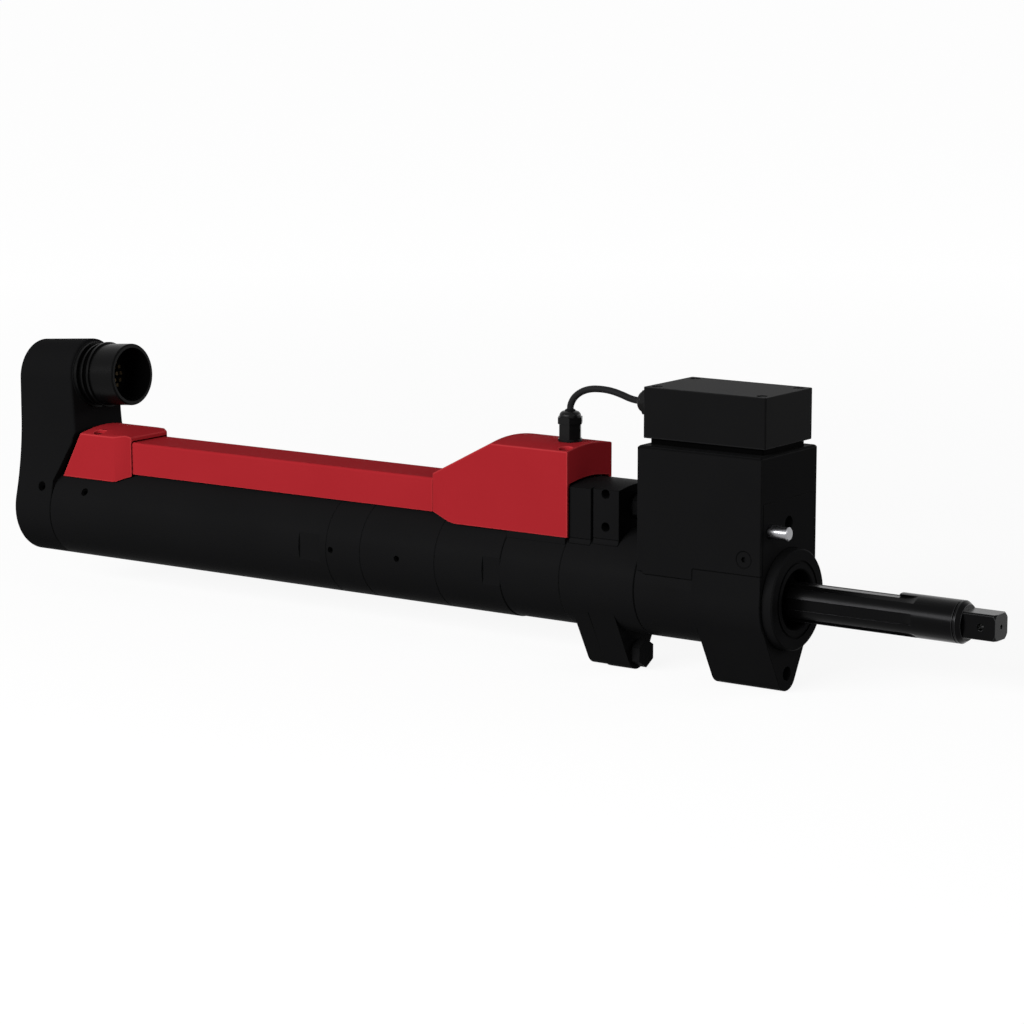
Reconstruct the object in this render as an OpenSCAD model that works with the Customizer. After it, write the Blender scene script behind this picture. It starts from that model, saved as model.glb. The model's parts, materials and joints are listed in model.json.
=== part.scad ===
// Fixtured tightening spindle: a motor, two planetary stages and a torque transducer in
// a round body, with a telescopic splined square drive at the front.
// X points forward along the drive axis, Z up, and the origin is on the mounting face.

/* [Round body] */
// Radius of the round body
body_r = 40; // [38:0.5:44]
// Length of the front housing, behind the mounting face
front_len = 108.5; // [104:0.5:116]
// Length of the mid housing that carries the rear lug
mid_len = 67; // [64:0.5:72]
// Length of the torque transducer section
transducer_len = 54.5; // [52:0.5:60]
// Length of the second gear case
case2_len = 61; // [58:0.5:66]
// Length of the first gear case
case1_len = 72; // [68:0.5:78]
// Length of the ring between motor and gearbox
adapter_len = 33.5; // [31:0.5:38]
// Length of the motor tube
motor_len = 292; // [280:1:310]
// Wall of the motor tube
motor_wall = 4.5; // [3.5:0.1:5]
// Chamfer on both ends of each round section
seam_chamfer = 0.5; // [0.2:0.1:1]
// How much smaller the transducer section is in radius
transducer_step = 0.6; // [0.2:0.1:1.5]
// Depth of the wrench flats
wrench_depth = 1.5; // [0.5:0.1:2.5]
// Length of a wrench flat along the axis
wrench_len = 20.5; // [14:0.5:24]

/* [Flange] */
// Distance of each fastening hole's axis from the round body
bolt_out = 16; // [14:0.5:20]
// Radius of the tapped fastening holes, at the thread's outside
bolt_hole_r = 5.3; // [5:0.1:6]
// Depth of the tapped fastening holes
bolt_hole_depth = 26; // [18:1:28]
// Radius of the foot and lug around their hole
lug_r = 13; // [11:0.5:15]
// How much smaller the pilot ring is than the round body, in radius
pilot_step = 2.5; // [1.5:0.5:4]
// How far the pilot ring stands out of the mounting face
pilot_len = 8.4; // [6:0.2:10]
// Radius of the dowel pin
dowel_r = 5; // [4:0.5:5.5]
// How far the dowel pin stands out of the mounting face
dowel_out = 15.6; // [12:0.2:18]
// Sideways place of the dowel pin, towards the left side
dowel_y = 25.4; // [23:0.2:27]
// Height of the dowel pin's axis above the round body
dowel_rise = 13.2; // [11:0.2:15]
// Length of the rear lug
lug_len = 38; // [34:0.5:42]

/* [Sensor block] */
// How much narrower the block is than the round body, on each side
block_step = 0.2; // [0:0.1:1.5]
// Height of the block's top above the round body
block_rise = 69; // [64:0.5:74]
// How much shorter the block is than the front housing
block_short = 2.5; // [2:0.1:4]
// Wall of the block's cover
block_wall = 3.5; // [3:0.1:4]
// Height of the joint on the front face, above the round body
plate_rise = 34.5; // [32:0.5:40]
// Length of the foot and of the shelf that the cover's front half stands on
shelf_len = 57.6; // [52:0.2:62]
// Thickness of the upright plate that takes the upper bolt
plate_t = 30; // [29:0.5:34]

/* [Electronics box] */
// Length of the electronics box
box_len = 104; // [98:0.5:106]
// Width of the electronics box
box_w = 67; // [60:0.5:70]
// Height of the electronics box
box_h = 38; // [34:0.5:42]
// Wall of the electronics box
box_wall = 3; // [2:0.1:4]
// Height of the gap under the electronics box
box_gap = 4.5; // [3:0.1:6]

/* [Red covers] */
// Width of the front cover
front_cover_w = 61; // [60:0.5:64]
// Height of the front cover's side above the round body
front_cover_h = 56.4; // [52:0.2:62]
// Length of the front cover's level part
front_cover_len = 70.7; // [66:0.1:76]
// Width of the rear cover
rear_cover_w = 59; // [57:0.5:61]
// Height of the rear cover's side above the round body
rear_cover_h = 27.4; // [26:0.1:29]
// Width of the cable duct
duct_w = 43; // [41:0.5:44]
// Height of the duct's top above the round body
duct_h = 23.2; // [22:0.1:24]
// Wall of the covers and the duct
cover_wall = 2.5; // [2:0.1:3]

/* [Tail] */
// Width of the tail head's upper part
head_w = 60; // [58:0.2:62]
// Upward tilt of the tail head's top and of the connector, in degrees
head_tilt = 4.3; // [0:0.1:6]
// Height of the connector's foot above the round body
connector_h = 72.9; // [71:0.1:78]
// How far the tail head reaches behind the motor tube
head_back = 39.5; // [38:0.5:46]
// How far the tail head's upper part reaches over the motor tube
head_over = 21; // [19:0.5:23]
// Radius of the connector's barrel
barrel_r = 25.5; // [24:0.1:26]
// How far the connector stands out of the tail head
connector_len = 41.6; // [38:0.1:46]

/* [Drive] */
// Outside radius of the splined spindle
spindle_r = 15.6; // [15:0.1:16]
// Depth of the spline grooves
spline_depth = 2.4; // [1.6:0.1:2.8]
// Number of splines
spline_count = 6; // [4:1:8]
// Width across the square drive
square_w = 19.05; // [16:0.05:20]
// Length of the square drive
square_len = 25.5; // [22:0.5:30]
// Distance from the mounting face to the spindle's shoulder
shoulder_x = 147.5; // [140:0.5:152]
// Travel of the spindle into the sleeve
stroke = 90; // [60:1:92]
// Face width of the gears
gear_face = 22; // [16:0.5:24]
// Play between gear teeth on each side
tooth_play = 0.07; // [0.04:0.01:0.1]

/* [Hidden] */
$fn = 72;
eps = 0.01;

// Clearances: pieces that stay together, pieces that turn, pieces that slide
seat_gap = 0.05;
run_gap = 0.05;
press_gap = 0.01;
slide_gap = 0.3;

// Sizes and levels that follow the round body
bolt_z = body_r + bolt_out;
pilot_r = body_r - pilot_step;
dowel_z = body_r + dowel_rise;
shelf_z = body_r * 0.55;
plate_top = body_r + plate_rise;
block_w = 2 * (body_r - block_step);
block_top = body_r + block_rise;
block_len = front_len - block_short;
front_cover_z = body_r + front_cover_h;
rear_cover_z = body_r + rear_cover_h;
duct_top = body_r + duct_h;
connector_z = body_r + connector_h;
gear_module = body_r * 0.02875;

// Round sections, from the mounting face back
front_x = -front_len;
mid_x = front_x - mid_len;
transducer_x = mid_x - transducer_len;
case2_x = transducer_x - case2_len;
case1_x = case2_x - case1_len;
adapter_x = case1_x - adapter_len;
motor_x = adapter_x - motor_len;
head_x = motor_x - head_back;
head_front_x = motor_x + head_over;
motor_bore = body_r - motor_wall;
transducer_r = body_r - transducer_step;

// Planetary stages
sun_teeth = 18;
planet_teeth = 18;
ring_teeth = sun_teeth + 2 * planet_teeth;
gear_centre = gear_module * (sun_teeth + planet_teeth) / 2;
planet_count = 3;
pin_r = 4;
web_t = 7;
web_gap = 0.6;
carrier_r = gear_module * ring_teeth / 2 - 2 * gear_module;
case_bore = gear_module * (ring_teeth / 2 + 1.25) + 0.4;
post_r = 4;
post_at = gear_centre + 2.6;
stage1_x = case1_x + (case1_len - gear_face) / 2 - 4;
stage2_x = case2_x + (case2_len - gear_face) / 2 - 9;

// Tail head: its slope over the motor tube, where its neck ends, and its top's own levels
head_slope_low = body_r - 14;
head_slope_top = body_r + 25.5;
head_neck_z = body_r + 39.4;
head_joint_z = connector_z - 0.6 * head_w / 2;
head_joint_deep = 1.6 * head_w / 2;
head_core = 2;
head_sky = connector_z + head_w;
head_wall = 8;

// Motor
shaft_r = 10;
motor_bearing_r = 21;
motor_bearing_w = 12;
stator_len = 170;
winding_len = 18;
stator_x = motor_x + 78;
air_gap = 0.5;
rotor_r = body_r / 2;
coil_space = motor_bore - rotor_r;
rear_plate_x = motor_x + 20;
rear_plate_t = 18;
rear_bearing_x = rear_plate_x + rear_plate_t - motor_bearing_w;
resolver_len = 11;

// Drive sleeve and its bearings
sleeve_wall = 4;
sleeve_r = spindle_r + slide_gap + sleeve_wall + 0.1;
sleeve_front = -8;
spline_len = 68;
sleeve_bore_r = spindle_r + slide_gap;
spline_back = sleeve_front - spline_len;
ring_stop_w = 3;
spindle_back = spline_back - ring_stop_w - 1.5;
sleeve_floor = spindle_back - stroke - 5;
hub_len = 14;
sleeve_back = sleeve_floor - hub_len;
bearing_r = body_r - 9;
pilot_bore_r = bearing_r - 8.5;
bearing_w = 12;
bearing_front_x = -34;
bearing_back_x = mid_x + 7;
torque_r = 12;
torque_neck_r = 9;
spigot_r = 9;
spigot_len = 9;

// Spring inside the hollow rear of the spindle
spring_r = 6.4;
spring_wire_r = 0.9;
spring_turns = 16;
spring_steps = 8;
spring_bore_r = 8;
spring_bore_end = 20;

// Slot and splines on the spindle
collar_chamfer = 3.5;
collar_nose_r = spindle_r - 2.4;
collar_groove_x = shoulder_x - 6;
square_tip_r = 11;
square_tip_len = 8;
slot_end = 94;
slot_w = 9;
slot_depth = 3.4;
runout_r = 40;
spline_end = 97;
groove_share = 0.5;

// Shallow reliefs in the mounting face, so that a plate lies flat around pilot ring and dowel pin
relief_gap = 0.4;
relief_deep = 0.6;

// Dowel pin: its seat in the housing is thinner than its free end
dowel_seat_r = dowel_r - 0.2;
dowel_in = 15;
dowel_chamfer = 0.8;

// Sensor block
block_back = -block_len;
block_in = block_w / 2 - block_wall;
box_x0 = block_back + (block_len - box_len) / 2;
box_x1 = box_x0 + box_len;
box_z = block_top + box_gap;
box_top = box_z + box_h;
box_screw_inset = 7.5;
box_screw_deep = 4.5;
board_t = 1.6;
side_screw_x = -14;
block_corner_r = 1.2;
block_edge = 1.5;
cover_hem = shelf_z - 8.5;
box_corner_r = 1.5;
base_inset = 4;
box_edge = 0.6;
side_screw_z = shelf_z + 11.5;
screw_head_r = 6.2;

// Raised block on the mid housing
raise_front = front_x - 22;
raise_back = mid_x + 1.5;
raise_gap_x = raise_back + 20;
raise_gap = 1;
raise_wide = 27.5;
raise_narrow = 26;
raise_core = 23.5;
raise_top = body_r + 33;
raise_crown_r = 130;
raise_fillet = 6;
accessory_x = raise_gap_x + 11.5;
accessory_z = [body_r + 2, body_r + 27];
accessory_r = 3.4;
hex_af = 19;
hex_h = 8;
lug_front = front_x - 21.5;
lug_step = 0.7;
lug_step_x = lug_front - 23;
tangent = asin((body_r - lug_r) / bolt_z);

// Saddle under the front cover, and the cover's own levels
saddle_z = sqrt(pow(body_r, 2) - pow(front_cover_w / 2, 2)) + 5.1;
saddle_top = body_r + 12;
crown_rise = 3;
front_cover_x = mid_x + 1.5;
slope_x = front_cover_x - front_cover_len;
slope_angle = 27.4;
cover_tail_x = slope_x - 61;
taper_len = 21;
arch_top = raise_top + 1.2;
gland_x = front_cover_x - 18;
front_screw_x = front_cover_x - 7;
rear_screw_x = motor_x + 42;
cover_screw_y = 22.5;
cover_screw_r = 2.5;
duct_low = sqrt(pow(body_r, 2) - pow(duct_w / 2, 2)) + 2.8;
rear_cover_low = sqrt(pow(body_r, 2) - pow(rear_cover_w / 2, 2)) + 3;
rear_cover_rise = 4.9;
rear_cover_front = motor_x + 76;
rear_nose_len = 13.5;
rear_nose_drop = 5;
cover_sky = front_cover_z + 40;
rear_cover_back = motor_x + 6;
duct_back = rear_cover_front - 10;
boss_r = 6.2;
cover_lift = 1.5;
rear_saddle_top = body_r + 12;

// Wires that lie on the body under the duct
wire_r = 3.6;
wire_y = [-9, 0, 9];
wire_way_w = 27;
wire_way_top = body_r + 2 * wire_r + 1.8;

// Cable glands and the sensor cable
gland_af = 18;
gland_flange_r = 9.2;
gland_body_af = 16;
gland_hole_r = 6;
gland_z = front_cover_z + crown_rise;
gland_h = 13.5;
gland_nut_h = 5;
gland_dome_h = 4.5;
gland_dome_r = 8.2;
gland_dome_round = 3.6;
box_gland_z = box_z + 21.5;
box_gland_x = box_x0;
box_gland_h = 14;
cable_r = 2.6;
cable_sides = 10;
cable_start = [gland_x, gland_z];
cable_reach = [box_gland_x - box_gland_h - gland_nut_h - 1 - gland_x, box_gland_z - gland_z];
cable_shares = [
    [0, 0.52], [0, 0.66], [0.01, 0.79], [0.06, 0.945], [0.155, 1.075], [0.275, 1.15],
    [0.42, 1.17], [0.56, 1.15], [0.69, 1.095], [0.81, 1.03], [0.93, 1], [1, 1]
];
cable_route = [for (u = cable_shares)
    [cable_start[0] + u[0] * cable_reach[0], 0, cable_start[1] + u[1] * cable_reach[1]]];

// Set screws in the round body
set_r = 2.5;
set_len = body_r * 0.14;
set_deep = 1.2;
set_at = [adapter_x + 4.6, case1_x + 36];
tube_screw_r = 3.4;
tube_screw_x = motor_x + 34.5;
tube_screw_angle = 29.5;
head_screw_x = motor_x - 12;
head_screw_angle = 29.5;

// Connector
connector_x = head_front_x - (connector_z - head_slope_top) * tan(head_tilt);
connector_spigot_r = 20;
connector_spigot_len = 14;
connector_flange_r = 27.4;
barrel_bore_r = 22;
barrel_floor = 8;
insert_deep = 8;
insert_front = 14;
contact_back = 12;
contact_front = 19;
contact_r = 1.6;
contact_rings = [[4, 6], [9, 12]];

// A flat outline in Y and Z, drawn out along X
module x_prism(x0, x1) translate([x0, 0, 0]) rotate([90, 0, 90]) linear_extrude(x1 - x0) children();

// A flat outline in X and Z, drawn out evenly to both sides
module y_prism(w) rotate([90, 0, 0]) linear_extrude(w, center = true) children();

// An outline of radius and X, turned about the drive axis
module x_turn() rotate([0, 90, 0]) rotate_extrude() children();

module x_rod(x0, x1, r) translate([x0, 0, 0]) rotate([0, 90, 0]) cylinder(r = r, h = x1 - x0);

module x_ring(x0, x1, outer, inner) difference() {
    x_rod(x0, x1, outer);
    x_rod(x0 - 1, x1 + 1, inner);
}

module round_rect(x0, y0, x1, y1, r) {
    translate([x0 + r, y0]) square([x1 - x0 - 2 * r, y1 - y0]);
    translate([x0, y0 + r]) square([x1 - x0, y1 - y0 - 2 * r]);
    for (x = [x0 + r, x1 - r], y = [y0 + r, y1 - r]) translate([x, y]) circle(r);
}

// A rectangle whose lower and upper corners are cut off by different amounts
module edge_cut_rect(x0, y0, x1, y1, low, high) polygon([
    [x0 + low, y0], [x1 - low, y0], [x1, y0 + low], [x1, y1 - high],
    [x1 - high, y1], [x0 + high, y1], [x0, y1 - high], [x0, y0 + low]
]);

// A round section of the body with a chamfer at both ends
module section_blank(x0, x1, r = body_r) x_turn() polygon([
    [0, x0], [r - seam_chamfer, x0], [r, x0 + seam_chamfer],
    [r, x1 - seam_chamfer], [r - seam_chamfer, x1], [0, x1]
]);

// Flats on both sides, for a wrench
module wrench_flats(x0) for (s = [-1, 1])
    translate([x0, s * (1.5 * body_r - wrench_depth) - body_r / 2, -body_r])
        cube([wrench_len, body_r, 2 * body_r]);

// Places something on the four quarters of the round body, pointing outwards
module on_quarters(x, r) for (a = [0, 90, 180, 270]) translate([x, 0, 0]) rotate([a, 0, 0])
    translate([0, 0, r]) children();

// Places something on both upper flanks of the round body, pointing outwards
module on_flanks(x, angle, r) for (s = [-1, 1]) translate([x, 0, 0])
    rotate([s * (90 - angle), 0, 0]) translate([0, 0, r]) children();

// A headless screw with its hexagon socket at z = 0
module set_screw(r, len) difference() {
    translate([0, 0, -len]) cylinder(r = r, h = len);
    translate([0, 0, -len / 2]) cylinder(r = r * 0.6, h = len, $fn = 6);
}

// A screw with a flat countersunk head at z = 0
module flat_screw(head_r, r, len) difference() {
    union() {
        translate([0, 0, -(head_r - r)]) cylinder(r1 = r, r2 = head_r, h = head_r - r);
        translate([0, 0, -len]) cylinder(r = r, h = len - (head_r - r) + eps);
    }
    translate([0, 0, -2.4]) cylinder(r = r * 0.75, h = 4, $fn = 6);
}

// A cap screw whose head stands on z = 0
module cap_screw(head_r, head_h, r, len) difference() {
    union() {
        cylinder(r = head_r, h = head_h);
        translate([0, 0, -len]) cylinder(r = r, h = len + eps);
    }
    translate([0, 0, head_h / 2]) cylinder(r = r * 0.9, h = head_h, $fn = 6);
}

// Teeth: angle from tooth middle to flank at a given radius
function involute(a) = tan(a) * 180 / PI - a;
function flank(r, pitch_r, half) = let (base = pitch_r * cos(20), a = acos(min(1, base / max(r, base))))
    half + involute(20) - involute(a);
function polar(r, a) = [r * cos(a), r * sin(a)];

// A gear outline. play is taken off each flank, and a negative play makes a hole for teeth
function gear_points(teeth, tip, root, play) =
    let (
        pitch_r = gear_module * teeth / 2,
        half = 90 / teeth - play / pitch_r * 180 / PI,
        root_r = pitch_r - root * gear_module,
        tip_r = pitch_r + tip * gear_module,
        radii = [root_r, pitch_r - 0.35 * gear_module, pitch_r + 0.35 * gear_module, tip_r]
    )
    [for (t = [0 : teeth - 1]) each concat(
        [for (k = [0 : 3]) polar(radii[k], 360 * t / teeth - flank(radii[k], pitch_r, half))],
        [for (k = [3 : -1 : 0]) polar(radii[k], 360 * t / teeth + flank(radii[k], pitch_r, half))]
    )];

module sun_outline() polygon(gear_points(sun_teeth, 0.9, 1.2, tooth_play));
module planet_outline() rotate(180 / planet_teeth) polygon(gear_points(planet_teeth, 0.9, 1.2, tooth_play));
module ring_hole() rotate(180 / ring_teeth) polygon(gear_points(ring_teeth, 1.2, 0.85, -tooth_play));

// Places something on each planet's axis
module planet_at(k) rotate([k * 360 / planet_count, 0, 0]) translate([0, gear_centre, 0]) children();

module planet(x0, k) planet_at(k) x_prism(x0, x0 + gear_face) difference() {
    planet_outline();
    circle(pin_r + run_gap);
}

module planet_pins(x0) for (k = [0 : planet_count - 1]) planet_at(k)
    x_rod(x0 - web_gap - web_t, x0 + gear_face + web_gap + web_t, pin_r);

// Two discs joined by posts between the planets, with holes for the pins
module planet_cage(x0) difference() {
    union() {
        x_rod(x0 - web_gap - web_t, x0 - web_gap, carrier_r);
        x_rod(x0 + gear_face + web_gap, x0 + gear_face + web_gap + web_t, carrier_r);
        for (k = [0 : planet_count - 1]) rotate([(k + 0.5) * 360 / planet_count, 0, 0])
            translate([0, post_at, 0]) x_rod(x0 - web_gap - 1, x0 + gear_face + web_gap + 1, post_r);
    }
    for (k = [0 : planet_count - 1]) planet_at(k)
        x_rod(x0 - web_t - 2, x0 + gear_face + web_t + 2, pin_r + press_gap);
    x_rod(x0 - web_t - 2, x0 - web_gap + 1, shaft_r + 2);
}

module gear_case(x0, len, stage_x) color("#1b1b1c") difference() {
    section_blank(x0, x0 + len);
    x_rod(x0 - 1, stage_x - 2, case_bore);
    x_prism(stage_x - 3, stage_x + gear_face + 3) ring_hole();
    x_rod(stage_x + gear_face + 2, x0 + len + 1, case_bore);
    if (stage_x == stage1_x) on_quarters(set_at[1], body_r - set_len - set_deep) cylinder(r = set_r, h = 20);
    if (stage_x == stage2_x) wrench_flats(x0 + len - wrench_len + 4.5);
}

// Lozenge between the round body and a hole below it, drawn in by an inset on its flanks.
// The flanks lie a hair inside the two rounds, so that they cross them and don't just touch
module lozenge(inset) {
    r = lug_r - inset - seat_gap;
    big = body_r - inset - seat_gap;
    translate([0, -bolt_z]) circle(lug_r - inset);
    polygon([
        [0, 0], polar(big, 180 + tangent), polar(r, 180 + tangent) - [0, bolt_z],
        polar(r, -tangent) - [0, bolt_z], polar(big, -tangent)
    ]);
}

// A solid foot or lug under the round body
module foot(x0, x1, inset = 0) x_prism(x0, x1) lozenge(inset);

// Places something on the connector's tilted axis, from the tail head's front face
module on_connector() translate([connector_x, 0, connector_z]) rotate([0, -head_tilt, 0]) children();

module rear_head() color("#1c1c1d") difference() {
    intersection() {
        union() {
            x_prism(head_x - 1, head_front_x + 1) head_outline(body_r, head_w / 2, head_neck_z);
            on_connector() x_prism(-2 * head_w, head_w) head_top_outline(head_w / 2);
        }
        head_side();
    }
    x_rod(motor_x, head_front_x + 1, body_r + seat_gap);
    on_connector() x_rod(-head_back - 10, -head_wall, connector_spigot_r - 2);
    x_prism(head_x + head_wall, motor_x - 6) head_outline(body_r - 9, head_w / 2 - 6, body_r * 0.675);
    x_rod(motor_x - 7, motor_x + 1, body_r - 9);
    on_connector() x_rod(-connector_spigot_len - 1, 1, connector_spigot_r + seat_gap);
    wire_way(motor_x - 20, head_front_x);
    on_flanks(head_screw_x, head_screw_angle, body_r - 8) cylinder(r = tube_screw_r, h = 20);
}

// Side view of the tail head: upright at the back, sloping over the motor tube, tilted in front
module head_side() y_prism(3 * body_r) polygon([
    [head_x, -2 * body_r], [motor_x, -2 * body_r], [motor_x, head_slope_low], [head_front_x, head_slope_top],
    [head_front_x - (head_sky - head_slope_top) * tan(head_tilt), head_sky], [head_x, head_sky]
]);

// Lower outline of the tail head: a round body, a hollow-sided neck that ends level at blend_z,
// and a core that ties it to the tilted top
module head_outline(r, half, blend_z) {
    blend_r = (pow(blend_z, 2) / (r - half) - r - half) / 2;
    blend_y = half + blend_r;
    circle(r);
    difference() {
        polygon([[0, 0], [blend_y, blend_z], [-blend_y, blend_z]]);
        for (s = [-1, 1]) translate([s * blend_y, blend_z]) circle(blend_r - seat_gap, $fn = 300);
    }
    translate([-half + head_core, 0]) square([2 * (half - head_core), head_joint_z]);
}

// Outline of the tail head's top about the connector's axis
module head_top_outline(half) {
    translate([-half, -head_joint_deep]) square([2 * half, head_joint_deep]);
    circle(half);
}

module head_screws() color("#303032") on_flanks(head_screw_x, head_screw_angle, body_r - set_deep)
    set_screw(tube_screw_r - seat_gap, 6.5);

module connector_shell() color("#18181a") on_connector() difference() {
    x_turn() polygon([
        [0, -connector_spigot_len], [connector_spigot_r, -connector_spigot_len], [connector_spigot_r, 0],
        [connector_flange_r, 0], [connector_flange_r, 4], [barrel_r - 1.5, 4],
        [barrel_r - 1.5, 7], [barrel_r + 0.3, 7], [barrel_r + 0.3, 9],
        [barrel_r - 1.5, 9], [barrel_r - 1.5, 14], [barrel_r + 1.5, 14],
        [barrel_r + 1.5, 16.5], [barrel_r, 16.5],
        [barrel_r, connector_len - 0.8], [barrel_r - 0.8, connector_len], [0, connector_len]
    ]);
    x_rod(barrel_floor, connector_len + 1, barrel_bore_r);
    x_rod(-connector_spigot_len - 1, barrel_floor + 1, connector_spigot_r - 3);
}

module connector_insert() color("#101011") on_connector() difference() {
    union() {
        x_rod(-insert_deep, barrel_floor, connector_spigot_r - 3 - seat_gap);
        x_rod(barrel_floor, insert_front, barrel_bore_r - seat_gap);
    }
    contacts(contact_r + press_gap, -insert_deep - 1, insert_front + 1);
}

module contacts(r, x0, x1) for (ring = contact_rings, k = [0 : ring[1] - 1])
    rotate([k * 360 / ring[1], 0, 0]) translate([0, ring[0] + 2, 0]) x_rod(x0, x1, r);

module connector_pins() color("#b08d4a") on_connector() contacts(contact_r, -contact_back, contact_front);

module motor_tube() color("#1b1b1c") difference() {
    section_blank(motor_x, adapter_x);
    x_rod(motor_x - 1, adapter_x + 1, motor_bore);
    wrench_flats(adapter_x - wrench_len - 6.8);
    on_flanks(tube_screw_x, tube_screw_angle, motor_bore - 1) cylinder(r = tube_screw_r, h = 20);
}

module tube_screws() color("#303032") on_flanks(tube_screw_x, tube_screw_angle, body_r - set_deep)
    set_screw(tube_screw_r - seat_gap, 8);

module rear_bearing_plate() color("#8c8c8c") difference() {
    x_rod(rear_plate_x, rear_plate_x + rear_plate_t, motor_bore - seat_gap);
    x_rod(rear_bearing_x, rear_plate_x + rear_plate_t + 1, motor_bearing_r + seat_gap);
    x_rod(rear_plate_x - 1, rear_plate_x + rear_plate_t, shaft_r + 3);
    on_flanks(tube_screw_x, tube_screw_angle, motor_bore - 6) cylinder(r = tube_screw_r, h = 20);
}

module stator_core() color("#6d6f73") x_prism(stator_x, stator_x + stator_len) difference() {
    circle(motor_bore - seat_gap);
    circle(rotor_r + air_gap);
    for (k = [0 : 11]) rotate(30 * k) translate([rotor_r + 0.26 * coil_space, -3])
        square([0.52 * coil_space, 6]);
}

module stator_windings() color("#9c5a2e") for (x = [stator_x - winding_len, stator_x + stator_len])
    x_turn() translate([rotor_r + 3, x]) round_rect(0, 0, coil_space - 4.5, winding_len, 3);

module resolver_stator() color("#7a7a7a") x_ring(rear_plate_x - resolver_len, rear_plate_x, 28, 16);

module bearing(x0, outer, inner, w) x_turn() polygon([
    [inner, x0], [inner + 3, x0], [inner + 3, x0 + 0.6], [outer - 3, x0 + 0.6], [outer - 3, x0], [outer, x0],
    [outer, x0 + w], [outer - 3, x0 + w], [outer - 3, x0 + w - 0.6], [inner + 3, x0 + w - 0.6],
    [inner + 3, x0 + w], [inner, x0 + w]
]);

module motor_bearings() color("#b9bbbe") for (x = [rear_bearing_x, adapter_x + 2])
    bearing(x, motor_bearing_r, shaft_r + run_gap, motor_bearing_w);

module motor_adapter() color("#1b1b1c") difference() {
    section_blank(adapter_x, case1_x);
    x_rod(adapter_x - 1, adapter_x + 2 + motor_bearing_w, motor_bearing_r + seat_gap);
    x_rod(adapter_x, case1_x + 1, shaft_r + 3);
    x_rod(case1_x - 10, case1_x + 1, carrier_r + 1);
    on_quarters(set_at[0], body_r - set_len - set_deep) cylinder(r = set_r, h = 20);
}

module gear_case_1() gear_case(case1_x, case1_len, stage1_x);

module gear_case_2() gear_case(case2_x, case2_len, stage2_x);

module case_set_screws() color("#303032") for (x = set_at)
    on_quarters(x, body_r - set_deep) set_screw(set_r - seat_gap, set_len);

module transducer_body() color("#1b1b1c") difference() {
    section_blank(transducer_x, mid_x, transducer_r);
    x_rod(transducer_x - 1, mid_x + 1, bearing_r);
}

module transducer_saddle() color("#1d1d1e") difference() {
    x_prism(transducer_x, mid_x - 0.5) {
        translate([-front_cover_w / 2 + 0.5, 0]) square([front_cover_w - 1, saddle_z]);
        translate([-front_cover_w / 2 + cover_wall + 0.5, 0])
            square([front_cover_w - 2 * cover_wall - 1, saddle_top]);
    }
    x_rod(transducer_x - 1, mid_x + 1, transducer_r + seat_gap);
    wires(wire_r + seat_gap, transducer_x - 1, transducer_x + 12);
    for (s = [-1, 1]) translate([front_screw_x, s * cover_screw_y, 0])
        translate([0, 0, saddle_top - 12]) cylinder(r = cover_screw_r, h = 20);
}

module mid_housing() color("#1b1b1c") difference() {
    union() {
        section_blank(mid_x, front_x);
        raised_part(raise_back, raise_gap_x - raise_gap / 2, raise_wide);
        raised_part(raise_back, raise_front, raise_core);
        raised_part(raise_gap_x + raise_gap / 2, raise_front, raise_narrow);
        foot(lug_front - lug_len, lug_front, lug_step);
        foot(lug_step_x, lug_front);
    }
    x_rod(mid_x - 30, mid_x, transducer_r + seat_gap);
    x_rod(mid_x - 1, front_x + 1, bearing_r);
    for (s = [-1, 1]) translate([0, 0, s * bolt_z])
        x_rod(lug_front - lug_len - 20, lug_front + 5, bolt_hole_r + seat_gap);
    for (z = accessory_z) translate([accessory_x, 0, z]) rotate([90, 0, 0])
        cylinder(r = accessory_r, h = 3 * raise_wide, center = true);
}

// Part of the block on the mid housing, with a crowned top and hollow rounds at its foot
module raised_part(x0, x1, half) x_prism(x0, x1) {
    blend_z = sqrt(pow(body_r + raise_fillet, 2) - pow(half + raise_fillet, 2));
    intersection() {
        translate([-half, 0]) square([2 * half, raise_top]);
        translate([0, raise_top - raise_crown_r]) circle(raise_crown_r, $fn = 200);
    }
    for (s = [-1, 1]) difference() {
        polygon([[0, 0], [0, blend_z], [s * (half + raise_fillet), blend_z]]);
        translate([s * (half + raise_fillet), blend_z]) circle(raise_fillet - seat_gap);
    }
}

module flange_bolts() color("#2b2b2d") for (s = [[-1, lug_front], [1, raise_front]])
    translate([0, 0, s[0] * bolt_z]) {
        x_rod(s[1] - 32, s[1] + 1, bolt_hole_r);
        x_rod(s[1], s[1] + 1.5, hex_af / 2);
        translate([s[1] + 1, 0, 0]) rotate([0, 90, 0]) cylinder(r = hex_af / sqrt(3), h = hex_h - 1, $fn = 6);
    }

module front_housing() color("#1b1b1c") difference() {
    union() {
        section_blank(front_x, 0);
        x_prism(-shelf_len, 0) translate([-block_w / 2, 0]) square([block_w, shelf_z]);
        x_prism(-plate_t, 0) translate([-block_in + seat_gap, 0])
            square([2 * (block_in - seat_gap), plate_top]);
        foot(-shelf_len, 0);
    }
    x_rod(front_x - 1, 1, bearing_r);
    x_rod(-6, 1, bearing_r + 3);
    for (s = [-1, 1]) translate([0, 0, s * bolt_z]) x_rod(-bolt_hole_depth, 1, bolt_hole_r);
    x_rod(-relief_deep, 1, pilot_r + relief_gap);
    translate([0, -dowel_y, dowel_z]) {
        x_rod(-dowel_in, 1, dowel_seat_r + press_gap);
        x_rod(-relief_deep, 1, dowel_r + relief_gap);
    }
    for (s = [-1, 1]) translate([side_screw_x, s * block_w / 2, side_screw_z]) rotate([-s * 90, 0, 0])
        translate([0, 0, -16]) cylinder(r = 3 + seat_gap, h = 20);
}

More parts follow.
